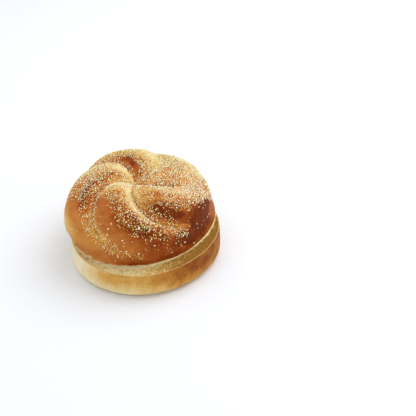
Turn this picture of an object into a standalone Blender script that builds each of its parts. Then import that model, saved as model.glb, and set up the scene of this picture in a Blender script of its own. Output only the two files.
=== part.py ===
"""A kaiser roll dusted with cornmeal, sliced across and laid back together a little askew.

Two pieces: the crown, with its five folded lobes and the coarsest grains of meal, and the
heel under the cut. Sizes are in metres and +Z is up. The roll is worked out round the middle
of the heel, and at the end it is moved so that the middle of its box is at x = y = 0.
"""
import math
import random

import bpy
import numpy as np
from mathutils import Vector, noise

# The cut, a gently wavy and slightly tilted surface that both pieces share
CUT_HEIGHT = 0.0219
CUT_TILT = Vector((0.013, 0.047))     # rise towards +X and +Y, metres a metre
CUT_WAVE = 0.0005             # how far the crumb surface wanders
CUT_WAVE_LENGTH = 0.034
CUT_GAP = 0.0004              # air between the two cut faces

# Heel
HEEL_RADIUS = 0.0534          # at its widest, a third of the way up
HEEL_RIM_RADIUS = 0.0526      # at the cut
HEEL_FOOT_RADIUS = 0.0452     # the flat that it stands on
HEEL_FOOT_ROUND = 0.0066      # height of the rounded bottom edge
HEEL_OUTLINE = ((1, -0.0006, 0.0012), (2, 0.0008, 0.0016), (3, 0.0002, 0.0008))  # cosine, sine
FOOT_SPREAD = ((203, 17, 0.0050), (240, 16, -0.0009), (308, 20, 0.0014))  # degrees, width, metres

# Crown, a full dome that has slid back on the heel
CROWN_CENTRE = Vector((-0.0058, 0.0169))
CROWN_RADIUS = 0.0567         # at its widest line
CROWN_EDGE_RADIUS = 0.0556    # at the cut
CROWN_EDGE_SHIFT = Vector((0.0031, 0.0011))   # of the cut's outline from the widest one
WALL_UNDERCUT = 0.3           # how far the wall faces down at the cut
CROWN_OUTLINE = ((2, -0.0037, 0.0020), (3, 0.0011, -0.0005))
WIDEST_HEIGHT = 0.0321
DOME_HEIGHT = 0.0282          # from the widest line to the top
DOME_FULLNESS = 2.23          # 2 would be an ellipse

# The fold: five lobes that turn anticlockwise out of a sunken hub
HUB_OFFSET = Vector((-0.0008, -0.0040))   # from the crown's centre
HUB_SINK = 0.0078
HUB_WIDTH = 0.0130
LOBE_SWELL = 0.25             # share of a groove's depth by which the lobe beside it rises
WALL_TURN = 9.0               # degrees that all the grooves still turn on the wall
# start: where a groove leaves the hub, turn: how far it has turned at the widest line, both
# in degrees; bend: 1 is an even spiral; depth; fade: the crown's crust from 0, the hub, to
# 1, the cut, and where the groove begins and ends to fade; deep: how far out it has its whole
# depth; before and after: how the lobes beside it fall into it, 1 is a soft valley and less is
# a crease; lean: share of the depth by which the lobe after it leans over it; late: share of
# the turn that comes only near the widest line
GROOVES = (
    dict(start=-50, turn=62, bend=0.8, depth=0.0045, fade=(0.22, 0.56), deep=0.30, before=1.0,
         after=0.9, lean=0.10, late=0.0, lobe_columns=18),
    dict(start=48, turn=36, bend=1.2, depth=0.0058, fade=(0.28, 0.72), deep=0.30, before=1.0,
         after=0.7, lean=0.20, late=0.0, lobe_columns=12),
    dict(start=119, turn=44, bend=2.2, depth=0.0090, fade=(0.48, 0.92), deep=0.30, before=0.75,
         after=0.36, lean=0.20, late=0.0, lobe_columns=16),
    dict(start=179, turn=68, bend=1.1, depth=0.0072, fade=(0.40, 0.92), deep=0.30, before=0.75,
         after=0.60, lean=0.16, late=0.0, lobe_columns=17),
    dict(start=250, turn=73, bend=1.0, depth=0.0080, fade=(0.44, 0.76), deep=0.55, before=0.50,
         after=0.95, lean=0.06, late=0.41, lobe_columns=12),
)
CREASE_SOFTENS = (0.40, 0.75)     # along the crust, where the creases open into valleys

# Soft unevenness of the whole crust
DENT_DEPTH = 0.0009
DENT_LENGTH = 0.026

# Meal: the coarsest grains, half sunk in the crust
GRAIN_COUNT = 170
GRAIN_RADIUS = 0.00085
GRAIN_SPACING = 0.0044
MEAL_FROM = Vector((0.45, 0.35, 0.82)).normalized()   # the side that caught most meal
MEAL_SEED = 7

# Grid of the two pieces
DOME_SHARE = 0.74             # share of the crust, hub to cut, that is dome and not wall
CROWN_RINGS = 30
CROWN_FACE_RINGS = 5
HEEL_COLUMNS = 64
HEEL_FACE_RINGS = 7
HEEL_WALL_RINGS = 4
HEEL_ROUND_RINGS = 5
HEEL_FOOT_RINGS = 3
SHARP_ANGLE = math.radians(38)    # above it an edge is shaded sharp: the cuts and the grains


def clear_scene():
    for item in list(bpy.data.objects):
        bpy.data.objects.remove(item, do_unlink=True)


def smooth_step(low, high, value):
    part = min(max((value - low) / (high - low), 0.0), 1.0)
    return part * part * (3.0 - 2.0 * part)


def outline(waves, angle):
    return sum(c * math.cos(n * angle) + s * math.sin(n * angle) for n, c, s in waves)


def spread(places, angle):
    """How much wider the foot is at an angle, where it sags or is drawn in."""
    around = math.degrees(angle) % 360
    return sum(amount * math.exp(-((around - place) / width) ** 2)
               for place, width, amount in places)


def cut_height(x, y):
    wave = noise.noise(Vector((x, y, 0.0)) / CUT_WAVE_LENGTH)
    return CUT_HEIGHT + CUT_TILT.dot((x, y)) + CUT_WAVE * wave


def groove_angle(groove, travel, down):
    early = (1.0 - groove["late"]) * travel ** groove["bend"]
    turn = groove["turn"] * (early + groove["late"] * travel ** 12) + WALL_TURN * down
    return math.radians(groove["start"] + turn)


def groove_depth(groove, along, travel):
    deepens = smooth_step(0.0, groove["deep"], travel)
    return groove["depth"] * deepens * (1.0 - smooth_step(*groove["fade"], along))


def lobe_height(part, first, second, along):
    """0 in the grooves on both sides of a lobe and 1 on its crest."""
    soft = smooth_step(*CREASE_SOFTENS, along)
    rise = first["after"] + (1.0 - first["after"]) * soft
    fall = second["before"] + (1.0 - second["before"]) * soft
    crest = rise / (rise + fall)
    top = crest ** rise * (1.0 - crest) ** fall
    return part ** rise * (1.0 - part) ** fall / top


def lobe_at(column):
    """The lobe that a column of the grid is on, and how far across it from 0 to 1."""
    for index, groove in enumerate(GROOVES):
        if column < groove["lobe_columns"]:
            part = column / groove["lobe_columns"]
            eased = 0.5 - 0.5 * math.cos(math.pi * part)
            return index, 0.5 * (part + eased)
        column -= groove["lobe_columns"]
    return 0, 0.0


def crown_profile(along):
    """Radius, height and outward slope of the plain dome and wall.

    Also how far out on the dome, 0 to 1, and how far down the wall, 0 to 1."""
    if along <= DOME_SHARE:
        turn = along / DOME_SHARE * math.pi / 2
        share = math.sin(turn) ** (2 / DOME_FULLNESS)
        rise = max(math.cos(turn), 0.0) ** (2 / DOME_FULLNESS)
        slope = Vector((share ** (DOME_FULLNESS - 1) / CROWN_RADIUS,
                        rise ** (DOME_FULLNESS - 1) / DOME_HEIGHT)).normalized()
        return CROWN_RADIUS * share, WIDEST_HEIGHT + DOME_HEIGHT * rise, slope, share, 0.0
    down = (along - DOME_SHARE) / (1.0 - DOME_SHARE)
    radius = CROWN_RADIUS - (CROWN_RADIUS - CROWN_EDGE_RADIUS) * down ** 1.7
    height = WIDEST_HEIGHT + (CUT_HEIGHT - WIDEST_HEIGHT) * down
    return radius, height, Vector((1.0, -WALL_UNDERCUT * down)).normalized(), 1.0, down


def crown_point(along, column):
    """A point of the crust: along runs from the hub, 0, to the cut, 1."""
    radius, height, slope, travel, down = crown_profile(along)
    lobe, part = lobe_at(column)
    first, second = GROOVES[lobe], GROOVES[(lobe + 1) % len(GROOVES)]
    first_angle = groove_angle(first, travel, down)
    second_angle = groove_angle(second, travel, down)
    if second_angle < first_angle:
        second_angle += 2 * math.pi
    angle = first_angle + (second_angle - first_angle) * part
    depth = (groove_depth(first, along, travel) * (1.0 - part)
             + groove_depth(second, along, travel) * part)
    lift = depth * (lobe_height(part, first, second, along) - 1.0 + LOBE_SWELL)
    lean = first["lean"] * depth * 3.0 * math.sqrt(part) * (1.0 - part) ** 3

    inward = (1.0 - travel) ** 1.5
    radius += outline(CROWN_OUTLINE, angle) * travel
    sink = HUB_SINK * math.exp(-(radius / HUB_WIDTH) ** 1.5)
    dent = DENT_DEPTH * noise.noise(Vector((radius * math.cos(angle), radius * math.sin(angle),
                                            height)) / DENT_LENGTH) * min(travel * 2.0, 1.0)
    radius += slope.x * (lift + dent)
    height += slope.y * (lift + dent) - sink
    if radius > lean:
        angle -= lean / radius
    middle = CROWN_CENTRE + HUB_OFFSET * inward + CROWN_EDGE_SHIFT * down
    x = middle.x + radius * math.cos(angle)
    y = middle.y + radius * math.sin(angle)
    height += (cut_height(x, y) - CUT_HEIGHT) * down
    if along >= 1.0:
        height = cut_height(x, y) + CUT_GAP
    return Vector((x, y, height))


def crown_face_point(inward, column):
    """A point of the crown's cut face: inward runs from its edge, 0, to its middle, 1."""
    x, y = crown_point(1.0, column).xy.lerp(CROWN_CENTRE + CROWN_EDGE_SHIFT, inward)
    return Vector((x, y, cut_height(x, y) + CUT_GAP))


def heel_point(ring, angle):
    """Rings count from the middle of the cut face over the rim and down to the foot."""
    waves = outline(HEEL_OUTLINE, angle)
    if ring <= HEEL_FACE_RINGS:
        radius = (HEEL_RIM_RADIUS + waves) * ring / HEEL_FACE_RINGS
        x, y = radius * math.cos(angle), radius * math.sin(angle)
        return Vector((x, y, cut_height(x, y)))
    ring -= HEEL_FACE_RINGS
    if ring <= HEEL_WALL_RINGS:
        down = ring / HEEL_WALL_RINGS
        radius = HEEL_RADIUS - (HEEL_RADIUS - HEEL_RIM_RADIUS) * (1.0 - down) ** 2 + waves
        x, y = radius * math.cos(angle), radius * math.sin(angle)
        return Vector((x, y, cut_height(x, y) * (1.0 - down) + HEEL_FOOT_ROUND * down))
    ring -= HEEL_WALL_RINGS
    foot = HEEL_FOOT_RADIUS + spread(FOOT_SPREAD, angle)
    if ring <= HEEL_ROUND_RINGS:
        turn = ring / HEEL_ROUND_RINGS * math.pi / 2
        radius = foot + (HEEL_RADIUS - foot) * math.cos(turn) + waves
        height = HEEL_FOOT_ROUND * (1.0 - math.sin(turn))
        return Vector((radius * math.cos(angle), radius * math.sin(angle), height))
    inward = (ring - HEEL_ROUND_RINGS) / HEEL_FOOT_RINGS
    radius = (foot + waves) * (1.0 - inward)
    return Vector((radius * math.cos(angle), radius * math.sin(angle), 0.0))


def shaped_sphere(name, columns, rings, place):
    """A sphere primitive whose vertices move to place(ring, column), ring 0 at its top."""
    bpy.ops.mesh.primitive_uv_sphere_add(segments=columns, ring_count=rings, radius=1.0)
    piece = bpy.context.active_object
    piece.name = name
    piece.data.name = name
    for vertex in piece.data.vertices:
        ring = round(math.acos(min(max(vertex.co.z, -1.0), 1.0)) / math.pi * rings)
        angle = math.atan2(vertex.co.y, vertex.co.x) % (2 * math.pi)
        column = round(angle / (2 * math.pi) * columns) % columns
        vertex.co = place(ring, column)
    piece.data.shade_smooth()
    return piece


def make_heel():
    rings = HEEL_FACE_RINGS + HEEL_WALL_RINGS + HEEL_ROUND_RINGS + HEEL_FOOT_RINGS

    def place(ring, column):
        return heel_point(ring, 2 * math.pi * column / HEEL_COLUMNS)

    return shaped_sphere("heel", HEEL_COLUMNS, rings, place)


def make_crown():
    columns = sum(groove["lobe_columns"] for groove in GROOVES)

    def place(ring, column):
        if ring <= CROWN_RINGS:
            return crown_point(ring / CROWN_RINGS, column)
        return crown_face_point((ring - CROWN_RINGS) / CROWN_FACE_RINGS, column)

    return shaped_sphere("crown", columns, CROWN_RINGS + CROWN_FACE_RINGS, place)


def meal_places(crown):
    """Spots for the grains: evenly spaced, most where the crust faces the falling meal."""
    draw = random.Random(MEAL_SEED)
    columns = sum(groove["lobe_columns"] for groove in GROOVES)
    places = []
    while len(places) < GRAIN_COUNT:
        along = math.sqrt(draw.random()) * 0.9
        column = draw.random() * columns
        chance = draw.random()
        if along < 0.06:
            continue
        _, spot, normal, _ = crown.closest_point_on_mesh(crown_point(along, column))
        if chance > smooth_step(0.25, 0.9, normal.dot(MEAL_FROM)):
            continue
        above = spot + normal * 3 * GRAIN_RADIUS
        nearest = crown.closest_point_on_mesh(above)[1]
        if (nearest - above).length < 2.7 * GRAIN_RADIUS:
            continue
        if all((spot - other).length > GRAIN_SPACING for other, _ in places):
            places.append((spot, normal))
    return places


def make_grains(crown):
    """Low-poly grains of meal in a collection of their own."""
    draw = random.Random(MEAL_SEED + 1)
    grains = bpy.data.collections.new("meal grains")
    bpy.context.scene.collection.children.link(grains)
    bpy.ops.mesh.primitive_ico_sphere_add(subdivisions=1, radius=GRAIN_RADIUS)
    pattern = bpy.context.active_object
    for number, (spot, normal) in enumerate(meal_places(crown)):
        grain = bpy.data.objects.new(f"grain_{number:03d}", pattern.data)
        grain.location = spot
        turn = normal.to_track_quat("Z", "Y").to_euler()
        turn.rotate_axis("Z", draw.uniform(0.0, math.pi))
        grain.rotation_euler = turn
        grain.scale = (draw.uniform(0.85, 1.15), draw.uniform(0.75, 0.95), draw.uniform(0.6, 0.8))
        grains.objects.link(grain)
    bpy.data.objects.remove(pattern, do_unlink=True)
    return grains


def fuse(piece, collection):
    """Join everything in the collection to the piece, and remove the collection."""
    join = piece.modifiers.new("fused grains", "BOOLEAN")
    join.operation = "UNION"
    join.operand_type = "COLLECTION"
    join.collection = collection
    join.solver = "EXACT"
    bpy.context.view_layer.objects.active = piece
    bpy.ops.object.modifier_apply(modifier=join.name)
    for item in list(collection.objects):
        bpy.data.objects.remove(item, do_unlink=True)
    bpy.data.collections.remove(collection)


def add_material(piece, name, colour, roughness):
    material = bpy.data.materials.new(name)
    material.use_nodes = True
    shader = material.node_tree.nodes["Principled BSDF"]
    shader.inputs["Base Color"].default_value = (*colour, 1.0)
    shader.inputs["Roughness"].default_value = roughness
    shader.inputs["Metallic"].default_value = 0.0
    piece.data.materials.append(material)


def centre_on_origin(pieces):
    """Slide the pieces so that the middle of their common box is over the origin."""
    corners = np.array([vertex.co for piece in pieces for vertex in piece.data.vertices])
    middle = (corners.min(axis=0) + corners.max(axis=0)) / 2
    shift = Vector((middle[0], middle[1], 0.0))
    for piece in pieces:
        for vertex in piece.data.vertices:
            vertex.co -= shift
        piece.data.update()


def main():
    clear_scene()
    heel = make_heel()
    crown = make_crown()
    fuse(crown, make_grains(crown))
    add_material(crown, "golden brown crust", (0.48, 0.19, 0.055), 0.55)
    add_material(heel, "pale crust", (0.66, 0.41, 0.16), 0.6)
    centre_on_origin([heel, crown])
    crown.data.set_sharp_from_angle(angle=SHARP_ANGLE)
    heel.data.set_sharp_from_angle(angle=SHARP_ANGLE)
    roll = bpy.data.collections.new("kaiser roll")
    bpy.context.scene.collection.children.link(roll)
    for piece in (heel, crown):
        for holder in list(piece.users_collection):
            holder.objects.unlink(piece)
        roll.objects.link(piece)


main()
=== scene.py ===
import itertools
import math
import random

import bmesh
import bpy
import numpy as np
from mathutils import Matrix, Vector, noise


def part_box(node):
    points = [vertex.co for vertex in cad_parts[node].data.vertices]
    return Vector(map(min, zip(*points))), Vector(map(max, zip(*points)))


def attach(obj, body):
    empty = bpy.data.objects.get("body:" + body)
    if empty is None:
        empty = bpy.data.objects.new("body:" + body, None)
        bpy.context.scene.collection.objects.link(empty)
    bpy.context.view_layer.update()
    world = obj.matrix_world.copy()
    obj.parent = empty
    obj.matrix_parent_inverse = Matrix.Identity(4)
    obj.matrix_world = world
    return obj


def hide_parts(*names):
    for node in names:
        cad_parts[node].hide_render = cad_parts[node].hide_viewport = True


# Looks of a kaiser roll with cornmeal, cut across. Lengths are in metres.

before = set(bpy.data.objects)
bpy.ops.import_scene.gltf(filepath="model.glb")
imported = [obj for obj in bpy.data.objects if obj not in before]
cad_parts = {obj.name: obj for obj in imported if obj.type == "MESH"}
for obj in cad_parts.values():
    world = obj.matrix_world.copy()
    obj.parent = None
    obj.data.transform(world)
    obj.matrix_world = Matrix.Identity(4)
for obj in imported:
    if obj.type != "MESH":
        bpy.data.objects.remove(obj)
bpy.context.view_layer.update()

mm = 0.001

# the knife's cut, shared by both halves
cut = {
    "height": 0.0219,
    "tilt": Vector((0.013, 0.047)),     # rise towards +X and +Y
    "wave": 0.0005,
    "waveLength": 0.034,
    "gap": 0.0004,
    "rimGap": 0.0001,          # the gap at the crown's rim, before the knife's unevenness
    "crust": (0.2 * mm, 0.8 * mm),          # from the rim: all crust, all crumb
    "settles": (0.2 * mm, 1.5 * mm),        # from the rim: smooth, full pores
    "pressed": (-0.5 * mm, 2.0 * mm),       # heel, from the crown's edge: smooth, full pores
    "rimBlend": 1.0 * mm,
    "lipWidth": 2.5 * mm,
    "poreGrades": ((3.6 * mm, 0.35, 0.55 * mm), (1.8 * mm, 0.75, 0.35 * mm)),  # cell, share, depth
    "poreSize": (0.20, 0.28),  # the smallest, and how much larger they get, against the cell
    "fluffLength": 2.4 * mm,
    "fluffDepth": 0.30 * mm,
    "ragged": 0.60 * mm,       # how unevenly the knife left the crust's edge
    "raggedLength": 5.0 * mm,
    # where the crust tore off: the place and the width in degrees, and the height
    "tears": ((211.0, 8.0, 2.6 * mm), (225.0, 8.0, 3.8 * mm), (237.0, 4.0, 2.4 * mm),
              (247.0, 2.5, 0.4 * mm), (262.0, 38.0, 1.1 * mm), (262.0, 1.8, 0.4 * mm),
              (288.0, 3.0, 0.4 * mm)),
    "tearLength": 1.6 * mm,
    "tearRoughness": 0.9,
    "fineRim": 16 * mm,        # the outer part of a cut face, which has closer rings
    "fineShare": 0.65,         # and the share of the rings that it takes
}

# crumb that shows where the crust tore off
tornCrumb = {
    "start": 0.85,             # how far along the crust it can begin
    "spread": 0.6,             # how far it sticks out against the tear's height
    "inset": 0.3 * mm,
    "fluff": (0.8, 0.9),       # how uneven it is: mean, range
    "fluffLength": 0.9 * mm,
    "pore": 0.15,
    "bareness": 0.35,          # share of crumb in its colour
    # painted light on the torn crumb, against the shade under the crown's rim
    "paintedLight": 0.45,
    "fullAt": 0.4 * mm,        # height of a tear with all of its colour
}

heel = {
    "radius": 0.0534,
    "rimRadius": 0.0526,
    "footRadius": 0.0452,
    "footRound": 0.0066,
    # waves round the outline: how many, and the cosine's and the sine's amount
    "outline": ((1, -0.0006, 0.0012), (2, 0.0008, 0.0016), (3, 0.0002, 0.0008)),
    # where the foot is wider: the place and the width in degrees, and the amount
    "footSpread": ((203, 17, 0.0050), (240, 16, -0.0009), (308, 20, 0.0014)),
    "columns": 520,
    "faceRings": 52,
    "wallRings": 20,
    "roundRings": 16,
    "footRings": 6,
}

crown = {
    "centre": Vector((-0.0058, 0.0169)),
    "radius": 0.0567,
    "edgeRadius": 0.0556,
    "edgeShift": Vector((0.0031, 0.0011)),
    "undercut": 0.3,
    "outline": ((2, -0.0037, 0.0020), (3, 0.0011, -0.0005)),
    "widestHeight": 0.0321,
    "domeHeight": 0.0282,
    "fullness": 2.23,
    "domeShare": 0.74,         # share of the crust, hub to cut, that is dome and not wall
    "hubOffset": Vector((-0.0008, -0.0040)),
    "hubSink": 0.0078,
    "hubWidth": 0.0130,
    "swell": 0.25,
    "wallTurn": 9.0,           # degrees
    "creaseSoftens": (0.40, 0.75),
    "dentDepth": 0.0009,
    "dentLength": 0.026,
    "columns": 390,
    "crustRings": 216,
    "faceRings": 34,
}

# the five grooves of the fold: where they leave the hub and how far they turn, in degrees.
# deep: how far out a groove has its whole depth. before and after set how full the lobes on
# the two sides stand, low is steep; lean is how much the later lobe hangs over; late is the
# share of the turn that comes only near the widest line
grooves = (
    dict(start=-50, turn=62, bend=0.8, depth=0.0045, fade=(0.22, 0.56), deep=0.30, before=1.0,
         after=0.9, lean=0.10, late=0.0, lobeColumns=18),
    dict(start=48, turn=36, bend=1.2, depth=0.0058, fade=(0.28, 0.72), deep=0.30, before=1.0,
         after=0.7, lean=0.20, late=0.0, lobeColumns=12),
    dict(start=119, turn=44, bend=2.2, depth=0.0090, fade=(0.48, 0.92), deep=0.30, before=0.75,
         after=0.36, lean=0.20, late=0.0, lobeColumns=16),
    dict(start=179, turn=68, bend=1.1, depth=0.0072, fade=(0.40, 0.92), deep=0.30, before=0.75,
         after=0.60, lean=0.16, late=0.0, lobeColumns=17),
    dict(start=250, turn=73, bend=1.0, depth=0.0080, fade=(0.44, 0.76), deep=0.55, before=0.50,
         after=0.95, lean=0.06, late=0.41, lobeColumns=12),
)
lobeColumns = sum(groove["lobeColumns"] for groove in grooves)

# Soft strokes laid on the folds. A place is (lobe, along): lobe 2.5 is the middle of the
# third lobe, and along runs from 0 at the hub to 1 at the cut. Then a width and an amount.
# browning, with painted shadow towards the lower right, a painted sheen at the left edge and painted
# light at the foot of a crease
browningAndShade = (
    ((3.20, 0.20), (3.24, 0.15), 0.048, -0.38),   # stretched dough of the knot, pale
    ((3.27, 0.11), (3.88, 0.08), 0.075, -0.40),
    ((3.88, 0.12), (3.90, 0.27), 0.060, -0.38),   # smooth band beside the fourth crease
    ((3.90, 0.30), (3.94, 0.42), 0.045, -0.28),
    ((4.10, 0.10), (4.12, 0.24), 0.055, -0.34),   # foot of the band, across the crease: partly paler dough, partly painted light against the crease's shade
    ((4.00, 0.47), (4.04, 0.60), 0.040, -0.34),
    ((4.10, 0.21), (4.14, 0.24), 0.030, 0.14),
    ((4.16, 0.40), (4.20, 0.46), 0.040, 0.10),
    ((4.28, 0.24), (4.44, 0.31), 0.035, -0.15),
    ((3.82, 0.58), (3.98, 0.64), 0.045, -0.14),
    ((4.15, 0.10), (4.50, 0.14), 0.050, -0.26),
    ((4.70, 0.24), (4.82, 0.52), 0.100, -0.20),
    ((4.84, 0.12), (5.00, 0.24), 0.040, 0.18),
    ((4.90, 0.13), (5.02, 0.21), 0.040, 0.14),
    ((0.70, 0.25), (0.80, 0.27), 0.045, 0.12),
    ((0.10, 0.42), (0.30, 0.44), 0.080, -0.15),
    ((5.05, 0.30), (5.35, 0.46), 0.150, -0.16),
    ((0.20, 0.06), (0.45, 0.12), 0.055, -0.26),
    ((0.48, 0.20), (0.76, 0.28), 0.075, 0.10),
    ((0.90, 0.11), (0.98, 0.28), 0.075, -0.32),
    ((1.05, 0.18), (1.20, 0.28), 0.100, -0.34),
    ((1.28, 0.21), (1.48, 0.26), 0.060, -0.12),
    ((1.20, 0.30), (1.55, 0.32), 0.070, -0.20),
    ((0.64, 0.18), (0.90, 0.13), 0.035, -0.12),
    ((1.56, 0.18), (1.62, 0.20), 0.040, 0.12),
    ((1.34, 0.05), (1.42, 0.12), 0.050, 0.20),
    ((1.55, 0.08), (1.70, 0.12), 0.050, 0.12),    # flank under the rolled edge
    ((1.70, 0.13), (1.78, 0.26), 0.050, 0.12),
    ((1.50, 0.20), (1.58, 0.24), 0.050, 0.10),
    ((2.22, 0.04), (2.32, 0.14), 0.080, -0.50),   # rolled edge of the third lobe
    ((2.24, 0.16), (2.24, 0.36), 0.065, -0.28),
    ((2.40, 0.06), (2.46, 0.26), 0.060, -0.20),
    ((2.48, 0.03), (2.80, 0.05), 0.045, -0.32),
    ((2.86, 0.14), (2.84, 0.22), 0.045, -0.10),
    ((2.25, 0.55), (2.60, 0.66), 0.120, -0.22),   # left edge, palest: partly paler crust, partly a painted sheen at the grazing edge
    ((2.60, 0.70), (2.95, 0.68), 0.090, -0.18),
    ((2.60, 0.24), (2.76, 0.44), 0.070, 0.18),
    ((2.72, 0.36), (2.86, 0.28), 0.040, 0.10),
    ((2.52, 0.22), (2.66, 0.27), 0.040, -0.12),
    ((2.70, 0.46), (2.74, 0.50), 0.045, -0.12),
    ((2.70, 0.06), (2.84, 0.13), 0.045, -0.22),
    ((2.66, 0.30), (2.78, 0.18), 0.035, 0.11),
    ((2.86, 0.38), (2.91, 0.45), 0.035, 0.12),
    ((2.48, 0.14), (2.54, 0.15), 0.045, 0.12),
    ((2.98, 0.44), (3.04, 0.60), 0.045, -0.12),
    ((3.16, 0.29), (3.26, 0.36), 0.045, 0.12),
    ((3.04, 0.46), (3.10, 0.58), 0.080, -0.21),
    ((2.86, 0.54), (2.90, 0.58), 0.050, -0.10),
    ((3.22, 0.36), (3.32, 0.52), 0.090, -0.13),
    ((3.08, 0.72), (3.16, 0.92), 0.070, 0.09),
    ((3.46, 0.22), (3.56, 0.28), 0.055, 0.14),
    ((3.70, 0.38), (3.72, 0.58), 0.090, 0.16),
    ((3.48, 0.46), (3.60, 0.54), 0.060, 0.14),
    ((3.40, 0.57), (3.56, 0.67), 0.090, 0.09),
    ((3.60, 0.70), (3.66, 0.74), 0.060, 0.05),
    ((3.10, 0.94), (3.45, 0.95), 0.050, 0.08),
    ((3.58, 0.86), (3.70, 0.88), 0.050, -0.10),
    ((4.22, 0.34), (4.26, 0.46), 0.060, 0.28),
    ((4.13, 0.25), (4.17, 0.29), 0.035, 0.18),
    ((4.33, 0.31), (4.38, 0.37), 0.040, 0.18),
    ((4.46, 0.41), (4.50, 0.44), 0.035, 0.10),
    # darker towards the lower right of the fourth and fifth lobes and the wall below them: partly
    # deeper browning, partly painted shadow
    ((4.50, 0.57), (4.66, 0.58), 0.060, 0.34),
    ((4.18, 0.66), (4.40, 0.62), 0.090, 0.26),
    ((3.92, 0.72), (4.30, 0.76), 0.090, 0.30),
    ((3.55, 0.88), (4.10, 0.84), 0.110, 0.15),
    ((3.94, 0.72), (4.00, 0.70), 0.060, 0.16),
    ((4.34, 0.64), (4.50, 0.58), 0.060, 0.10),
    ((2.60, 0.98), (2.90, 0.98), 0.080, -0.12),   # paler again at the cut
)
mealing = (
    ((3.28, 0.35), (3.27, 0.48), 0.110, -1.9),    # steep flank that kept no meal
    ((3.25, 0.48), (3.34, 0.62), 0.090, -1.0),
    ((2.30, 0.56), (2.74, 0.52), 0.075, -1.0),
    ((2.84, 0.58), (2.94, 0.74), 0.045, -0.6),
    ((2.66, 0.46), (2.76, 0.50), 0.060, -0.6),
    ((1.54, 0.07), (1.70, 0.12), 0.050, -2.0),
    ((1.70, 0.12), (1.78, 0.20), 0.042, -1.6),
    ((1.78, 0.20), (1.80, 0.28), 0.030, -0.6),
    ((2.84, 0.32), (2.88, 0.44), 0.040, -0.4),
    ((4.20, 0.33), (4.24, 0.48), 0.070, -0.55),
    ((4.20, 0.56), (4.34, 0.64), 0.100, -0.75),
    ((4.32, 0.42), (4.44, 0.52), 0.050, -0.35),
    ((4.50, 0.56), (4.64, 0.58), 0.065, -1.5),
    ((2.93, 0.44), (2.99, 0.60), 0.055, 1.5),     # run of meal down the fourth valley
    ((2.99, 0.60), (3.15, 0.71), 0.052, 1.4),
    ((3.15, 0.71), (3.30, 0.78), 0.045, 0.9),
    ((3.18, 0.12), (3.60, 0.07), 0.080, 1.8),
    ((3.85, 0.10), (3.88, 0.30), 0.070, 1.8),
    ((3.88, 0.30), (3.92, 0.46), 0.060, 1.3),
    ((3.87, 0.50), (3.84, 0.64), 0.060, 0.9),
    ((3.64, 0.54), (3.82, 0.66), 0.060, 0.25),
    ((4.05, 0.10), (4.10, 0.24), 0.055, 1.0),
    ((0.15, 0.36), (0.95, 0.26), 0.230, 2.0),
    ((1.05, 0.15), (1.45, 0.25), 0.140, 2.1),
    ((1.55, 0.32), (1.75, 0.40), 0.080, 1.3),
    ((2.22, 0.06), (2.30, 0.38), 0.090, 2.2),
    ((2.48, 0.03), (2.80, 0.05), 0.050, 1.2),
    ((2.50, 0.16), (2.66, 0.34), 0.090, 0.5),
    ((4.72, 0.12), (4.82, 0.50), 0.105, 2.2),
)
# stray grains on crust that is bare otherwise
straying = (
    ((3.75, 0.74), (4.20, 0.70), 0.130, 0.05),
    ((4.20, 0.66), (4.50, 0.56), 0.080, 0.04),
    ((3.30, 0.62), (3.60, 0.74), 0.060, 0.07),
)
# where only fine meal stuck, or, below 0, mostly chips
dusting = (
    ((3.20, 0.28), (3.24, 0.15), 0.040, 0.6),
    ((3.26, 0.11), (3.88, 0.08), 0.060, 0.7),
    ((3.87, 0.12), (3.90, 0.28), 0.050, 0.7),
    ((3.91, 0.30), (3.95, 0.44), 0.040, 0.5),
    ((2.24, 0.04), (2.32, 0.16), 0.055, 0.5),
    ((4.90, 0.30), (5.90, 0.28), 0.200, -0.33),
    ((4.60, 0.26), (4.70, 0.50), 0.080, -0.33),
    ((1.10, 0.20), (1.45, 0.30), 0.100, -0.33),
    ((2.45, 0.32), (2.80, 0.30), 0.120, -0.33),
    ((3.60, 0.26), (3.78, 0.60), 0.100, -0.33),
)
# where the meal is yellower, or whiter
gilding = (
    ((2.90, 0.34), (2.99, 0.60), 0.080, 0.16),
    ((2.99, 0.60), (3.27, 0.76), 0.080, 0.26),
    ((4.90, 0.38), (5.20, 0.40), 0.120, -0.14),
    ((0.50, 0.20), (0.90, 0.28), 0.120, 0.08),
    ((4.18, 0.28), (4.36, 0.48), 0.090, 0.22),
    ((1.45, 0.20), (1.70, 0.36), 0.080, 0.20),
    ((4.72, 0.20), (4.82, 0.50), 0.105, -0.10),
    ((3.62, 0.30), (3.72, 0.62), 0.120, 0.16),
    ((4.20, 0.60), (4.40, 0.62), 0.120, 0.30),
    ((3.40, 0.34), (3.55, 0.60), 0.090, 0.18),
)
lobeLength = 0.7               # a lobe's width against the length of the crust, for the strokes


def smoothStep(low, high, value):
    part = np.clip((value - low) / (high - low), 0.0, 1.0)
    return part * part * (3.0 - 2.0 * part)


def outlineWave(waves, angle):
    return sum(c * math.cos(n * angle) + s * math.sin(n * angle) for n, c, s in waves)


def footSpread(angle):
    around = math.degrees(angle) % 360
    return sum(amount * math.exp(-((around - place) / width) ** 2)
               for place, width, amount in heel["footSpread"])


def cutHeight(x, y):
    wave = noise.noise(Vector((x, y, 0.0)) / cut["waveLength"])
    return cut["height"] + cut["tilt"].dot((x, y)) + cut["wave"] * wave


def noiseAt(points, length, seed):
    shift = Vector((seed, seed * 1.7, -seed))
    return np.array([noise.noise(Vector(p) / length + shift) for p in points])


def noiseSum(points, layers, total=0.0):
    for amount, length, seed in layers:
        total = total + amount * noiseAt(points, length, seed)
    return total


def poreAt(x, y, cell, share, seed):
    # 0 outside the pores, 1 in the middle of one
    distances, points = noise.voronoi(Vector((x / cell, y / cell, seed)))
    chance = 0.5 + 0.5 * noise.cell(points[0] * 7.3)
    if chance > share:
        return 0.0
    smallest, larger = cut["poreSize"]
    size = smallest + larger * chance / share
    return float(1.0 - smoothStep(size * 0.3, size, distances[0]))


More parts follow.
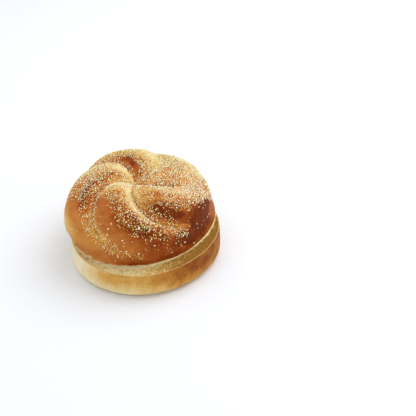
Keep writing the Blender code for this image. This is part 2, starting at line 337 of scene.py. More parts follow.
def crumbRelief(x, y, seed):
    fluff = noise.noise(Vector((x, y, seed * mm)) / cut["fluffLength"])
    depth = cut["fluffDepth"] * (0.5 - fluff)
    shade = 0.0
    for cell, share, poreDepth in cut["poreGrades"]:
        pore = poreAt(x, y, cell, share, seed + cell / mm)
        depth += poreDepth * pore
        shade = max(shade, pore)
    return max(depth, 0.0), shade


def tearAt(spot):
    # how high above the cut the knife tore the crust off
    around = math.degrees(math.atan2(spot.y - crown["centre"].y, spot.x - crown["centre"].x)) % 360
    rough = noise.noise(Vector((spot.x, spot.y, 0.07)) / cut["tearLength"])
    torn = cut["ragged"] * max(rough, 0.0)
    for place, width, height in cut["tears"]:
        nearness = math.exp(-((around - place) / width) ** 2)
        torn += height * nearness * (1.0 + cut["tearRoughness"] * rough)
    return torn


def faceShare(ring, rings, radius):
    # how far from the middle a ring of a cut face lies, from 0 to 1, closer near the rim
    fine = cut["fineRim"] / radius
    inner = rings * (1.0 - cut["fineShare"])
    if ring <= inner:
        return (1.0 - fine) * ring / inner
    return 1.0 - fine * (rings - ring) / (rings - inner)


def grooveAngle(groove, travel, down):
    early = (1.0 - groove["late"]) * travel ** groove["bend"]
    turn = groove["turn"] * (early + groove["late"] * travel ** 12) + crown["wallTurn"] * down
    return math.radians(groove["start"] + turn)


def grooveDepth(groove, along, travel):
    deepens = smoothStep(0.0, groove["deep"], travel)
    return groove["depth"] * deepens * (1.0 - smoothStep(*groove["fade"], along))


def lobeHeight(part, first, second, along):
    soft = smoothStep(*crown["creaseSoftens"], along)
    rise = first["after"] + (1.0 - first["after"]) * soft
    fall = second["before"] + (1.0 - second["before"]) * soft
    crest = rise / (rise + fall)
    top = crest ** rise * (1.0 - crest) ** fall
    return part ** rise * (1.0 - part) ** fall / top


def lobeAt(column):
    for index, groove in enumerate(grooves):
        if column < groove["lobeColumns"]:
            part = column / groove["lobeColumns"]
            eased = 0.5 - 0.5 * math.cos(math.pi * part)
            return index, 0.5 * (part + eased)
        column -= groove["lobeColumns"]
    return 0, 0.0


def crownProfile(along):
    if along <= crown["domeShare"]:
        turn = along / crown["domeShare"] * math.pi / 2
        share = math.sin(turn) ** (2 / crown["fullness"])
        rise = max(math.cos(turn), 0.0) ** (2 / crown["fullness"])
        slope = Vector((share ** (crown["fullness"] - 1) / crown["radius"],
                        rise ** (crown["fullness"] - 1) / crown["domeHeight"])).normalized()
        height = crown["widestHeight"] + crown["domeHeight"] * rise
        return crown["radius"] * share, height, slope, share, 0.0
    down = (along - crown["domeShare"]) / (1.0 - crown["domeShare"])
    radius = crown["radius"] - (crown["radius"] - crown["edgeRadius"]) * down ** 1.7
    height = crown["widestHeight"] + (cut["height"] - crown["widestHeight"]) * down
    return radius, height, Vector((1.0, -crown["undercut"] * down)).normalized(), 1.0, down


def crownPoint(along, column):
    radius, height, slope, travel, down = crownProfile(along)
    lobe, part = lobeAt(column)
    first, second = grooves[lobe], grooves[(lobe + 1) % len(grooves)]
    firstAngle = grooveAngle(first, travel, down)
    secondAngle = grooveAngle(second, travel, down)
    if secondAngle < firstAngle:
        secondAngle += 2 * math.pi
    angle = firstAngle + (secondAngle - firstAngle) * part
    depth = (grooveDepth(first, along, travel) * (1.0 - part)
             + grooveDepth(second, along, travel) * part)
    lift = depth * (lobeHeight(part, first, second, along) - 1.0 + crown["swell"])
    lean = first["lean"] * depth * 3.0 * math.sqrt(part) * (1.0 - part) ** 3

    inward = (1.0 - travel) ** 1.5
    radius += outlineWave(crown["outline"], angle) * travel
    sink = crown["hubSink"] * math.exp(-(radius / crown["hubWidth"]) ** 1.5)
    spot = Vector((radius * math.cos(angle), radius * math.sin(angle), height))
    dent = crown["dentDepth"] * noise.noise(spot / crown["dentLength"]) * min(travel * 2.0, 1.0)
    radius += slope.x * (lift + dent)
    height += slope.y * (lift + dent) - sink
    if radius > lean:
        angle -= lean / radius
    centre = crown["centre"] + crown["hubOffset"] * inward + crown["edgeShift"] * down
    x = centre.x + radius * math.cos(angle)
    y = centre.y + radius * math.sin(angle)
    height += (cutHeight(x, y) - cut["height"]) * down
    if along >= 1.0:
        edge = noise.noise(Vector((x, y, 0.03)) / cut["raggedLength"])
        height = cutHeight(x, y) + cut["rimGap"] + cut["ragged"] * 0.5 * edge
    return Vector((x, y, height))


def heelPoint(ring, angle):
    waves = outlineWave(heel["outline"], angle)
    if ring <= heel["faceRings"]:
        share = faceShare(ring, heel["faceRings"], heel["rimRadius"])
        radius = (heel["rimRadius"] + waves) * share
        x, y = radius * math.cos(angle), radius * math.sin(angle)
        return Vector((x, y, cutHeight(x, y)))
    ring -= heel["faceRings"]
    if ring <= heel["wallRings"]:
        down = ring / heel["wallRings"]
        radius = heel["radius"] - (heel["radius"] - heel["rimRadius"]) * (1.0 - down) ** 2 + waves
        x, y = radius * math.cos(angle), radius * math.sin(angle)
        return Vector((x, y, cutHeight(x, y) * (1.0 - down) + heel["footRound"] * down))
    ring -= heel["wallRings"]
    foot = heel["footRadius"] + footSpread(angle)
    if ring <= heel["roundRings"]:
        turn = ring / heel["roundRings"] * math.pi / 2
        radius = foot + (heel["radius"] - foot) * math.cos(turn) + waves
        height = heel["footRound"] * (1.0 - math.sin(turn))
        return Vector((radius * math.cos(angle), radius * math.sin(angle), height))
    inward = (ring - heel["roundRings"]) / heel["footRings"]
    radius = (foot + waves) * (1.0 - inward)
    return Vector((radius * math.cos(angle), radius * math.sin(angle), 0.0))


def heelMiddle():
    # where the heel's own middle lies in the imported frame
    rim = [heelPoint(heel["faceRings"] + heel["wallRings"], math.radians(a)) for a in range(360)]
    low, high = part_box("heel")
    x = (low.x + high.x) / 2 - (min(p.x for p in rim) + max(p.x for p in rim)) / 2
    y = (low.y + high.y) / 2 - (min(p.y for p in rim) + max(p.y for p in rim)) / 2
    return Vector((x, y, 0.0))


middle = heelMiddle()
print("heel middle", [round(v / mm, 2) for v in middle], "mm")


def sphereGrid(columns, rings):
    # a closed sphere, with the ring and the column of each of its vertices
    bm = bmesh.new()
    bmesh.ops.create_uvsphere(bm, u_segments=columns, v_segments=rings, radius=1.0)
    places = []
    for vert in bm.verts:
        ring = round(math.acos(min(max(vert.co.z, -1.0), 1.0)) / math.pi * rings)
        angle = math.atan2(vert.co.y, vert.co.x) % (2 * math.pi)
        places.append((ring, round(angle / (2 * math.pi) * columns) % columns))
    return bm, places


def makePiece(name, bm, materials, slotName, *nodes):
    bmesh.ops.translate(bm, verts=bm.verts, vec=middle)
    mesh = bpy.data.meshes.new(name)
    bm.to_mesh(mesh)
    bm.free()
    mesh.shade_smooth()
    piece = bpy.data.objects.new(name, mesh)
    bpy.context.scene.collection.objects.link(piece)
    for material in materials:
        mesh.materials.append(material)
    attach(piece, "root")
    if nodes:
        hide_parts(*nodes)
    return piece


def paint(piece, **layers):
    for name, values in layers.items():
        layer = piece.data.attributes.new(name, "FLOAT", "POINT")
        layer.data.foreach_set("value", np.asarray(values, dtype=np.float32))


def strokeSum(strokes, lobe, along):
    total = np.zeros(len(lobe))
    lobes = len(grooves)
    for (fromLobe, fromAlong), (toLobe, toAlong), width, amount in strokes:
        x = ((lobe - fromLobe + lobes / 2) % lobes - lobes / 2) * lobeLength
        y = along - fromAlong
        runX = ((toLobe - fromLobe + lobes / 2) % lobes - lobes / 2) * lobeLength
        runY = toAlong - fromAlong
        share = np.clip((x * runX + y * runY) / (runX ** 2 + runY ** 2), 0.0, 1.0)
        distance = (x - share * runX) ** 2 + (y - share * runY) ** 2
        total += amount * np.exp(-distance / width ** 2)
    return total


def linear(hexColour):
    values = [int(hexColour[i:i + 2], 16) / 255 for i in (1, 3, 5)]
    return [v / 12.92 if v <= 0.04045 else ((v + 0.055) / 1.055) ** 2.4 for v in values] + [1.0]


def addNode(material, kind, settings=None, links=None):
    # settings: properties, sockets by name or number, or a ramp's stops
    # links: socket -> a node, for its first output, or (node, output)
    node = material.node_tree.nodes.new(kind)
    for key, value in (settings or {}).items():
        if key == "stops":
            elements = node.color_ramp.elements
            while len(elements) < len(value):
                elements.new(0.5)
            for element, (place, colour) in zip(elements, value):
                element.position = place
                element.color = linear(colour)
        elif isinstance(key, str) and hasattr(node, key):
            setattr(node, key, value)
        else:
            node.inputs[key].default_value = value
    for key, source in (links or {}).items():
        source, output = source if isinstance(source, tuple) else (source, 0)
        material.node_tree.links.new(source.outputs[output], node.inputs[key])
    return node


def newMaterial(name):
    material = bpy.data.materials.new(name)
    material.use_nodes = True
    material.node_tree.nodes.clear()
    return material


# oven-baked crust: gelled starch, browned. Dry and satin, and soft at a grazing angle
def crustMaterial(name, stops, streaks):
    material = newMaterial(name)
    place = (addNode(material, "ShaderNodeTexCoord"), "Object")
    upright = addNode(material, "ShaderNodeMapping", {"Scale": (1.0, 1.0, 1.0 / 9.0)},
                      {"Vector": place})
    # blotches of browning, wrinkles of the skin, its grain, and stretch marks nine times as tall
    blotch, skin, fine, streak = [
        addNode(material, "ShaderNodeTexNoise",
                {"Scale": 1.0 / length, "Detail": detail, "Roughness": rough}, {"Vector": source})
        for length, detail, rough, source in ((6 * mm, 3.0, 0.6, place), (1.1 * mm, 4.0, 0.65, place),
                                              (0.45 * mm, 2.0, 0.6, place),
                                              (0.9 * mm, 3.0, 0.6, upright))]
    patterns = ((blotch, 0.26), (skin, 0.36), (streak, streaks))
    # the bake layer: browning, and in places painted shadow, a painted sheen and painted light
    brownAndShade = (addNode(material, "ShaderNodeAttribute", {"attribute_name": "bake"}), "Fac")
    for pattern, amount in patterns:
        brownAndShade = addNode(material, "ShaderNodeMath", {"operation": "MULTIPLY_ADD", 1: amount},
                          {0: pattern, 2: brownAndShade})
    mean = sum(amount for pattern, amount in patterns) / 2
    brownAndShade = addNode(material, "ShaderNodeMath", {"operation": "SUBTRACT", 1: mean}, {0: brownAndShade})
    colour = addNode(material, "ShaderNodeValToRGB", {"stops": stops}, {"Fac": brownAndShade})
    heights = skin
    for pattern, amount in ((fine, 0.6), (streak, streaks * 2)):
        heights = addNode(material, "ShaderNodeMath", {"operation": "MULTIPLY_ADD", 1: amount},
                          {0: pattern, 2: heights})
    bump = addNode(material, "ShaderNodeBump", {"Strength": 0.5, "Distance": 0.25 * mm},
                   {"Height": heights})
    roughness = addNode(material, "ShaderNodeMapRange",
                        {"From Min": 0.3, "From Max": 0.7, "To Min": 0.50, "To Max": 0.68},
                        {"Value": skin})
    shader = addNode(material, "ShaderNodeBsdfPrincipled",
                     {"IOR": 1.45, "Specular IOR Level": 0.10},
                     {"Base Color": colour, "Roughness": roughness, "Normal": bump})
    addNode(material, "ShaderNodeOutputMaterial", links={"Surface": shader})
    return material


# wheat crumb: a dull sponge of thin walls round air, torn a little by the knife
def crumbMaterial(name):
    material = newMaterial(name)
    place = (addNode(material, "ShaderNodeTexCoord"), "Object")
    fluff, patch = [
        addNode(material, "ShaderNodeTexNoise",
                {"Scale": 1.0 / length, "Detail": detail, "Roughness": rough}, {"Vector": place})
        for length, detail, rough in ((1.3 * mm, 4.0, 0.7), (4 * mm, 2.0, 0.5))]
    # air cells and pores are painted darker: painted shade in the crumb's holes
    cells = addNode(material, "ShaderNodeTexVoronoi", {"Scale": 1.0 / (1.0 * mm)},
                    {"Vector": place})
    air = addNode(material, "ShaderNodeMapRange",
                  {"From Min": 0.10, "From Max": 0.45, "To Min": 1.0, "To Max": 0.0},
                  {"Value": (cells, "Distance")})
    # the crumb's painted shade and light: painted shadow towards the heel's right, painted light
    # beside the crown and on torn crumb, and a darker, warmer tone at the heel's left
    pore, dull, edge = [
        (addNode(material, "ShaderNodeAttribute", {"attribute_name": layer}), "Fac")
        for layer in ("pore", "dull", "crustEdge")]
    shade = dull
    for pattern, amount in ((fluff, 1.3), (air, 0.55), (pore, 0.35), (patch, 0.8)):
        shade = addNode(material, "ShaderNodeMath", {"operation": "MULTIPLY_ADD", 1: amount},
                        {0: pattern, 2: shade})
    shade = addNode(material, "ShaderNodeMath", {"operation": "SUBTRACT", 1: 0.86}, {0: shade})
    colour = addNode(material, "ShaderNodeValToRGB",
                     {"stops": ((0.05, "#F4E6B6"), (0.40, "#DEC886"), (0.70, "#C49F54"),
                                (1.0, "#966A2A"))}, {"Fac": shade})
    # a mix node takes its colours at sockets 6 and 7, and gives the mixed one at output 2
    colour = addNode(material, "ShaderNodeMix", {"data_type": "RGBA", 7: linear("#DDB474")},
                     {"Factor": edge, 6: colour})
    lumps = addNode(material, "ShaderNodeMath", {"operation": "MULTIPLY_ADD", 1: -0.8},
                    {0: air, 2: fluff})
    bump = addNode(material, "ShaderNodeBump", {"Strength": 0.8, "Distance": 0.4 * mm},
                   {"Height": lumps})
    shader = addNode(material, "ShaderNodeBsdfPrincipled",
                     {"Roughness": 0.9, "IOR": 1.4, "Specular IOR Level": 0.15},
                     {"Base Color": (colour, 2), "Normal": bump})
    addNode(material, "ShaderNodeOutputMaterial", links={"Surface": shader})
    return material


# coarse cornmeal: chips of dried maize, from cream to yellow, dull and a little waxy
def mealMaterial(name):
    material = newMaterial(name)
    tone = addNode(material, "ShaderNodeAttribute", {"attribute_name": "tone"})
    colour = addNode(material, "ShaderNodeValToRGB",
                     {"stops": ((0.0, "#F6FBE6"), (0.4, "#F1EDB8"), (0.7, "#E4C866"),
                                (1.0, "#BE8C2C"))}, {"Fac": (tone, "Fac")})
    shader = addNode(material, "ShaderNodeBsdfPrincipled",
                     {"Roughness": 0.55, "IOR": 1.5, "Specular IOR Level": 0.2},
                     {"Base Color": colour})
    addNode(material, "ShaderNodeOutputMaterial", links={"Surface": shader})
    return material


crownCrust = crustMaterial(
    "golden brown crust",
    ((0.0, "#F0DBA4"), (0.25, "#E1B86F"), (0.50, "#CC8A40"), (0.72, "#B4672B"), (0.88, "#94430F"),
     (1.0, "#692804")), 0.06)
heelCrust = crustMaterial(
    "pale crust",
    ((0.0, "#F0E5C2"), (0.28, "#E3C98D"), (0.52, "#D2A151"), (0.76, "#B2742B"), (1.0, "#7E3A0D")),
    0.22)
crumb = crumbMaterial("bread crumb")
cornmeal = mealMaterial("coarse cornmeal")
print("materials done")


# how brown the crown is, from 0 to 1, with painted shadow in its darker right side, and how its meal
# lies
crownBakeAndShade = {
    "mean": 0.70,
    "sideShadeAndBrowning": 0.13,          # darker by this at the right, partly deeper browning and partly painted shadow, and paler at the left
    "darkest": -20.0,          # degrees
    "sideFrom": (0.2, 0.8),    # along the crust: no difference, all of it
    "drifts": ((0.09, 20 * mm, 0.0), (0.06, 8 * mm, 4.0)),      # amount, length, seed
    "underMeal": 0.04,
    "mealReach": (0.50, 0.68),              # along the crust: covered, bare
    "reachDrifts": ((0.07, 10 * mm, 9.0),),
    "mealDrifts": ((0.8, 7 * mm, 2.0), (0.5, 3 * mm, 6.0)),
    "mealLimits": (0.015, 3.2),
    "mealEnds": (0.86, 0.96),
    "dustLimits": (-0.33, 1.0),             # chips only, fine meal only
    "dustWhiter": 0.30,
}


def makeCrown():
    bm, places = sphereGrid(crown["columns"], crown["crustRings"] + crown["faceRings"])
    lobes, alongs = np.zeros(len(places)), np.zeros(len(places))
    pores, edges, dull = np.zeros(len(places)), np.ones(len(places)), np.zeros(len(places))
    for index, (vert, (ring, step)) in enumerate(zip(bm.verts, places)):
        column = step / crown["columns"] * lobeColumns
        lobe, part = lobeAt(column)
        lobes[index] = lobe + part
        if ring <= crown["crustRings"]:
            alongs[index] = ring / crown["crustRings"]
            vert.co = crownPoint(alongs[index], column)
            torn = tearAt(vert.co) - (vert.co.z - cutHeight(vert.co.x, vert.co.y))
            if alongs[index] > tornCrumb["start"] and torn > 0.0:
                middleLine = Vector((*crown["centre"], vert.co.z))
                mean, span = tornCrumb["fluff"]
                fluff = mean + span * noise.noise(vert.co / tornCrumb["fluffLength"])
                outward = tornCrumb["spread"] * torn * fluff - tornCrumb["inset"]
                vert.co -= (middleLine - vert.co).normalized() * outward
                shown = smoothStep(0.0, tornCrumb["fullAt"], torn)
                pores[index] = tornCrumb["pore"] * fluff
                edges[index] = 1.0 - tornCrumb["bareness"] * shown
                # painted light on the torn crumb, against the shade under the rim
                dull[index] = -tornCrumb["paintedLight"] * shown
            continue
        alongs[index] = 1.0
        rim = crownPoint(1.0, column)
        left = crown["faceRings"] - (ring - crown["crustRings"])
        share = faceShare(left, crown["faceRings"], crown["edgeRadius"])
        x, y = (crown["centre"] + crown["edgeShift"]).lerp(rim.xy, share)
        fromRim = (1.0 - share) * crown["edgeRadius"]
        depth, pore = crumbRelief(x, y, 3.0)
        settle = smoothStep(*cut["settles"], fromRim)
        height = cutHeight(x, y) + cut["gap"] + depth * settle
        blend = smoothStep(0.0, cut["rimBlend"], fromRim)
        vert.co = Vector((x, y, rim.z + (height - rim.z) * blend))
        pores[index] = pore * settle
        edges[index] = 1.0 - smoothStep(*cut["crust"], fromRim)
    for face in bm.faces:
        outermost = max(places[v.index][0] for v in face.verts)
        torn = all(edges[v.index] < 1.0 for v in face.verts)
        face.material_index = 1 if outermost > crown["crustRings"] or torn else 0
    spots = [vert.co.copy() for vert in bm.verts]
    piece = makePiece("crownLoaf", bm, (crownCrust, crumb), "crown_crust", "crown")

    turned = np.array([math.atan2(p.y - crown["centre"][1], p.x - crown["centre"][0])
                       for p in spots])
    # darker towards the right: partly deeper browning, partly painted shadow
    toRight = np.cos(turned - math.radians(crownBakeAndShade["darkest"]))
    toRight *= smoothStep(*crownBakeAndShade["sideFrom"], alongs)
    side = crownBakeAndShade["mean"] + crownBakeAndShade["sideShadeAndBrowning"] * toRight
    bake = side + noiseSum(spots, crownBakeAndShade["drifts"]) + strokeSum(browningAndShade, lobes, alongs)
    bake += crownBakeAndShade["underMeal"] * (1.0 - smoothStep(*crownBakeAndShade["mealReach"], alongs))
    wavering = noiseSum(spots, crownBakeAndShade["reachDrifts"], alongs)
    reach = 1.0 - smoothStep(*crownBakeAndShade["mealReach"], wavering)
    patchy = noiseSum(spots, crownBakeAndShade["mealDrifts"], 1.0)
    meal = (reach + strokeSum(mealing, lobes, alongs)) * patchy
    meal = np.maximum(np.clip(meal, *crownBakeAndShade["mealLimits"]), strokeSum(straying, lobes, alongs))
    meal *= 1.0 - smoothStep(*crownBakeAndShade["mealEnds"], alongs)
    dust = np.clip(strokeSum(dusting, lobes, alongs), *crownBakeAndShade["dustLimits"])
    whiter = crownBakeAndShade["dustWhiter"] * np.clip(dust, 0.0, 1.0)
    paint(piece, bake=np.clip(bake, 0.0, 1.0), chips=meal * (1.0 - dust),
          dust=meal * (1.0 + 3.0 * dust), pore=pores, crustEdge=edges, dull=dull,
          gold=strokeSum(gilding, lobes, alongs) - whiter)
    return piece


def beyondCrown(spot):
    # how far outside the crown's cut edge a spot lies
    middleOfEdge = crown["centre"] + crown["edgeShift"]
    x, y = spot.xy - middleOfEdge
    return math.hypot(x, y) - crown["edgeRadius"] - outlineWave(crown["outline"], math.atan2(y, x))


# how brown the heel is, from 0 to 1, darker towards its right partly as painted shadow, and how its
# crumb is shaded, with painted shadow and painted light. Side is 0 at the left and 1 at the right,
# and down is 0 at the cut and 1 at the bottom
heelBakeAndShade = {
    "leftmost": 185.0,         # degrees
    "left": 0.08,
    "gains": ((0.47, 0.02, 0.25), (0.38, 0.32, 0.92)),      # amount, from side, to side; the second, towards the right, is partly deeper browning and partly painted shadow
    "fadeFrom": (0.08, 0.26),  # down at the left, and how much further at the right
    "fadeTo": (0.64, 0.32),
    "faded": (0.74, -0.33),    # share of the brown that is gone at the foot, and the same
    "bottom": 0.50,            # it lay on the baking tray, and is evenly golden
    "bottomFrom": (0.0, 0.5),  # from its edge to its middle: paler, golden
    "drifts": ((0.12, 14 * mm, 0.0), (0.08, 6 * mm, 3.0)),
    "crumbRightShadow": (0.95, -0.3, 0.8),                        # painted shadow: darker by, from x, to x, in radii
    # this and the next: darker and more golden at the left, partly crust crumbs and partly a painted
    # warm reflection of the crown's crust
    "crumbLeft": (0.10, 0.45, 0.85),
    "leftCrust": 0.5,          # share of crust colour in the crumb's colour at the left, partly crust crumbs and partly a painted warm reflection
    # painted light beside the crown, against the shade under its rim: by, then from the crown's edge:
    # all of it, none
    "lightBesideCrown": ((0.30, 0.0, 3.5 * mm), (0.70, 0.2 * mm, 1.6 * mm)),
}


def makeHeel():
    rings = heel["faceRings"] + heel["wallRings"] + heel["roundRings"] + heel["footRings"]
    bm, places = sphereGrid(heel["columns"], rings)
    pores, edges, bake = np.zeros(len(places)), np.ones(len(places)), np.zeros(len(places))
    dull = np.zeros(len(places))
    for index, (vert, (ring, step)) in enumerate(zip(bm.verts, places)):
        angle = 2 * math.pi * step / heel["columns"]
        vert.co = heelPoint(ring, angle)
        if ring <= heel["faceRings"]:
            fromRim = (1.0 - faceShare(ring, heel["faceRings"], heel["rimRadius"])
                       ) * heel["rimRadius"]
            depth, pore = crumbRelief(vert.co.x, vert.co.y, 1.0)
            beyond = beyondCrown(vert.co)
            settle = smoothStep(*cut["settles"], fromRim) * smoothStep(*cut["pressed"], beyond)
            edge = noise.noise(Vector((vert.co.x, vert.co.y, 0.0)) / cut["raggedLength"])
            lip = cut["ragged"] * 0.5 * edge * (1.0 - smoothStep(0.0, cut["lipWidth"], fromRim))
            vert.co.z += min(lip, 0.0) - depth * settle
            pores[index] = pore * settle
            edges[index] = 1.0 - smoothStep(*cut["crust"], fromRim)
        down = max(ring - heel["faceRings"], 0) / (heel["wallRings"] + heel["roundRings"])
        side = 0.5 - 0.5 * math.cos(angle - math.radians(heelBakeAndShade["leftmost"]))
        golden = heelBakeAndShade["left"]
        # browner towards the right; the right part is partly painted shadow
        for gain, fromSide, toSide in heelBakeAndShade["gains"]:
            golden += gain * smoothStep(fromSide, toSide, side)
        fadeFrom, fadeTo, faded = [heelBakeAndShade[key][0] + heelBakeAndShade[key][1] * side
                                   for key in ("fadeFrom", "fadeTo", "faded")]
        bake[index] = golden * (1.0 - faded * smoothStep(fadeFrom, fadeTo, down))
        inward = max(ring - (rings - heel["footRings"]), 0) / heel["footRings"]
        baked = smoothStep(*heelBakeAndShade["bottomFrom"], inward)
        bake[index] += (heelBakeAndShade["bottom"] - bake[index]) * baked
        if ring < heel["faceRings"]:
            bake[index] = 0.0
            # the crumb darker towards the right: painted shadow
            rightShadow, *rightFrom = heelBakeAndShade["crumbRightShadow"]
            leftDull, *leftFrom = heelBakeAndShade["crumbLeft"]
            leftness = smoothStep(*leftFrom, -vert.co.x / heel["radius"])
            dull[index] = rightShadow * smoothStep(*rightFrom, vert.co.x / heel["radius"])
            dull[index] += leftDull * leftness
            edges[index] = max(edges[index], heelBakeAndShade["leftCrust"] * leftness)
            # lighter beside the crown: painted light against the shade under its rim
            for brighter, near, far in heelBakeAndShade["lightBesideCrown"]:
                dull[index] -= brighter * (1.0 - smoothStep(near, far, beyond))
    for face in bm.faces:
        innermost = min(places[v.index][0] for v in face.verts)
        face.material_index = 1 if innermost < heel["faceRings"] else 0
    spots = [vert.co.copy() for vert in bm.verts]
    piece = makePiece("heelLoaf", bm, (heelCrust, crumb), "heel_crust", "heel")
    bake = np.clip(bake + noiseSum(spots, heelBakeAndShade["drifts"]), 0.0, 1.0)
    paint(piece, bake=bake, pore=pores, crustEdge=edges, dull=dull)
    return piece


crownPiece = makeCrown()
heelPiece = makeHeel()
print("halves done:", len(crownPiece.data.polygons), len(heelPiece.data.polygons), "faces")


# size across, grains on a square centimetre of well covered crust, the sides of the shape they
# start from, and how golden they are
grades = {
    "coarseMeal": dict(size=1.20 * mm, density=18, sides=20, layer="chips", golden=0.0, seed=11),
    "mediumMeal": dict(size=0.92 * mm, density=56, sides=20, layer="chips", golden=0.04, seed=12),
    "fineMeal": dict(size=0.62 * mm, density=42, sides=8, layer="dust", golden=0.18, seed=13),
}
chip = {
    "gap": 0.78,               # how close two may lie, against the sum of their radii
    "radius": 0.45,            # against the size across
    "gridCell": 1.8 * mm,      # what the largest is across
    "shapes": 4,
    "corners": (0.72, 1.12),   # how far a corner is pushed in or out
    "sizeSpread": 0.22,
    "sizeLimits": (0.6, 1.5),
    "width": (0.6, 0.95),      # against the length
    "thickness": (0.45, 0.8),
    "raised": 0.18,            # how far the middle stands out, against the thickness
    "tone": (1.6, 2.8),        # of the beta distribution: most are pale, a few are deep yellow
}


class MealGrid:
    # remembers where grains lie, so that no two lie in one another
    def __init__(self, cell):
        self.cell = cell
        self.grains = {}

    def key(self, spot):
        return tuple(int(math.floor(v / self.cell)) for v in spot)

    def place(self, spot, radius):
        home = self.key(spot)
        for step in itertools.product((-1, 0, 1), repeat=3):
            for other, reach in self.grains.get(tuple(map(sum, zip(home, step))), ()):
                if math.dist(other, spot) < (reach + radius) * chip["gap"]:
                    return False
        self.grains.setdefault(home, []).append((spot, radius))
        return True


lyingMeal = MealGrid(chip["gridCell"])


def grainShape(sides, seed):
    # a chip of meal: a few-sided lump with its corners pushed about
    bm = bmesh.new()
    if sides == 20:
        bmesh.ops.create_icosphere(bm, subdivisions=1, radius=0.5)
    else:
        bmesh.ops.create_uvsphere(bm, u_segments=4, v_segments=2, radius=0.5)
    draw = random.Random(seed)
    for vert in bm.verts:
        vert.co *= draw.uniform(*chip["corners"])
    bmesh.ops.triangulate(bm, faces=bm.faces)
    points = np.array([v.co for v in bm.verts])
    faces = np.array([[v.index for v in f.verts] for f in bm.faces])
    bm.free()
    return points, faces


def sortedTriangles(mesh):
    # a mesh's faces can come in another order each run, and the draws must not change with it
    triangles = []
    for face in mesh.polygons:
        corners = list(face.vertices)
        first = corners.index(min(corners))
        corners = corners[first:] + corners[:first]
        triangles += [(corners[0], b, c) for b, c in zip(corners[1:], corners[2:])]
    return np.array(sorted(triangles))


def scatterMeal(name, grade, carrier):
    draw = np.random.default_rng(grade["seed"])
    mesh = carrier.data
    triangles = sortedTriangles(mesh)
    co = np.array([v.co for v in mesh.vertices])
    normals = np.array([v.normal for v in mesh.vertices])
    weight = np.array([d.value for d in mesh.attributes[grade["layer"]].data])
    gold = np.array([d.value for d in mesh.attributes["gold"].data])
    corners = co[triangles]
    area = np.linalg.norm(np.cross(corners[:, 1] - corners[:, 0],
                                   corners[:, 2] - corners[:, 0]), axis=1) / 2
    chance = area * weight[triangles].mean(axis=1)
    count = round(grade["density"] * chance.sum() / 0.01 ** 2)
    picked = draw.choice(len(triangles), size=count, p=chance / chance.sum())
    share = draw.random((count, 2))
    share[share.sum(axis=1) > 1] = 1 - share[share.sum(axis=1) > 1]
    blend = np.column_stack((1 - share.sum(axis=1), share))[:, :, None]
    spots = (corners[picked] * blend).sum(axis=1)
    up = (normals[triangles[picked]] * blend).sum(axis=1)
    up /= np.linalg.norm(up, axis=1)[:, None]
    # each grain lies flat on the crust, turned by chance
    side = np.cross(up, draw.normal(size=(count, 3)))
    side /= np.linalg.norm(side, axis=1)[:, None]
    third = np.cross(up, side)
    spread = np.exp(draw.normal(0.0, chip["sizeSpread"], count))
    size = grade["size"] * np.clip(spread, *chip["sizeLimits"])
    kept = [index for index, (spot, across) in enumerate(zip(spots.tolist(), size.tolist()))
            if lyingMeal.place(spot, across * chip["radius"])]
    count = len(kept)
    golden = grade["golden"] + gold[triangles[picked[kept]]].mean(axis=1)
    spots, up, side, third, size = (values[kept] for values in (spots, up, side, third, size))
    scale = np.column_stack((size, size * draw.uniform(*chip["width"], count),
                             size * draw.uniform(*chip["thickness"], count)))
    shapes = [grainShape(grade["sides"], grade["seed"] * 10 + i) for i in range(chip["shapes"])]
    kinds = draw.integers(0, len(shapes), count)
    toneOf = np.clip(draw.beta(*chip["tone"], count) + golden, 0.0, 1.0)
    allPoints, allFaces, tones, base = [], [], [], 0
    for kind, (points, faces) in enumerate(shapes):
        rows = np.nonzero(kinds == kind)[0]
        local = points[None] * scale[rows][:, None]
        raised = scale[rows, 2] * chip["raised"]
        placed = spots[rows][:, None] + up[rows][:, None] * raised[:, None, None]
        for axis, direction in enumerate((side, third, up)):
            placed = placed + local[:, :, axis:axis + 1] * direction[rows][:, None]
        index = base + np.arange(len(rows))[:, None, None] * len(points) + faces[None]
        allPoints.append(placed.reshape(-1, 3))
        allFaces.append(index.reshape(-1, 3))
        tones.append(np.repeat(toneOf[rows], len(points)))
        base += len(rows) * len(points)
    joined = bpy.data.meshes.new(name)
    joined.from_pydata(np.concatenate(allPoints).tolist(), [], np.concatenate(allFaces).tolist())
    joined.materials.append(cornmeal)
    grains = bpy.data.objects.new(name, joined)
    bpy.context.scene.collection.objects.link(grains)
    paint(grains, tone=np.concatenate(tones))
    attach(grains, "root")
    return count


for name, grade in grades.items():
    count = scatterMeal(name, grade, crownPiece)
    print(name, count, "grains,", count * grade["sides"], "faces")


studio = {
    "floorColour": "#F0F3F8",
    "surroundings": 0.86,
    "keyEnergy": 3.0,
    "keySize": 0.7,
    "keyPlace": (0.347, 0.243, 0.678),
    "focalPixels": 924.0,         # 80 mm lens on a 36 mm frame of 416 pixels
    "pitch": 34.0,
    "pixelsPerMetre": 1350.0,
    "heelPixel": (147.0, 254.0),  # where the middle of the heel's foot falls in the picture
    "imageSize": 416,
    "sensorWidth": 36.0,
    "keyAim": (0.0, 0.0, 0.03),
    "floorSize": 3.0,             # half a side
}


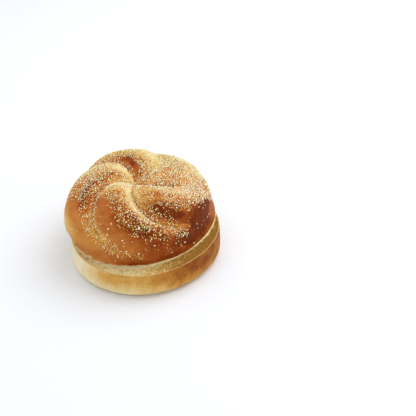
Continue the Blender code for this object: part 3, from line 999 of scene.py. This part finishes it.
def makeFloor():
    bm = bmesh.new()
    bmesh.ops.create_grid(bm, x_segments=1, y_segments=1, size=studio["floorSize"])
    mesh = bpy.data.meshes.new("floor")
    bm.to_mesh(mesh)
    bm.free()
    floor = bpy.data.objects.new("floor", mesh)
    bpy.context.scene.collection.objects.link(floor)
    material = newMaterial("white studio sweep")
    shader = addNode(material, "ShaderNodeBsdfPrincipled",
                     {"Base Color": linear(studio["floorColour"]), "Roughness": 0.9,
                      "Specular IOR Level": 0.0})
    addNode(material, "ShaderNodeOutputMaterial", links={"Surface": shader})
    mesh.materials.append(material)


def makeLight():
    world = bpy.data.worlds.new("studio")
    bpy.context.scene.world = world
    world.use_nodes = True
    background = world.node_tree.nodes["Background"]
    background.inputs["Color"].default_value = (1.0, 1.0, 1.0, 1.0)
    background.inputs["Strength"].default_value = studio["surroundings"]
    key = bpy.data.lights.new("softbox", "AREA")
    key.energy = studio["keyEnergy"]
    key.size = studio["keySize"]
    lamp = bpy.data.objects.new("softbox", key)
    bpy.context.scene.collection.objects.link(lamp)
    lamp.location = middle + Vector(studio["keyPlace"])
    aim = middle + Vector(studio["keyAim"]) - lamp.location
    lamp.rotation_euler = aim.to_track_quat("-Z", "Y").to_euler()


def makeCamera():
    pitch = math.radians(studio["pitch"])
    ahead = Vector((0.0, math.cos(pitch), -math.sin(pitch)))
    above = Vector((0.0, math.sin(pitch), math.cos(pitch)))
    half = studio["imageSize"] / 2
    distance = studio["focalPixels"] / studio["pixelsPerMetre"]
    right = (half - studio["heelPixel"][0]) / studio["pixelsPerMetre"]
    raised = (studio["heelPixel"][1] - half) / studio["pixelsPerMetre"]
    data = bpy.data.cameras.new("camera")
    data.sensor_width = studio["sensorWidth"]
    data.lens = studio["focalPixels"] / studio["imageSize"] * data.sensor_width
    camera = bpy.data.objects.new("camera", data)
    bpy.context.scene.collection.objects.link(camera)
    camera.location = middle - ahead * distance + above * raised + Vector((right, 0.0, 0.0))
    camera.rotation_euler = (math.pi / 2 - pitch, 0.0, 0.0)
    bpy.context.scene.camera = camera


makeFloor()
makeLight()
makeCamera()
bpy.context.scene.view_settings.view_transform = "Standard"
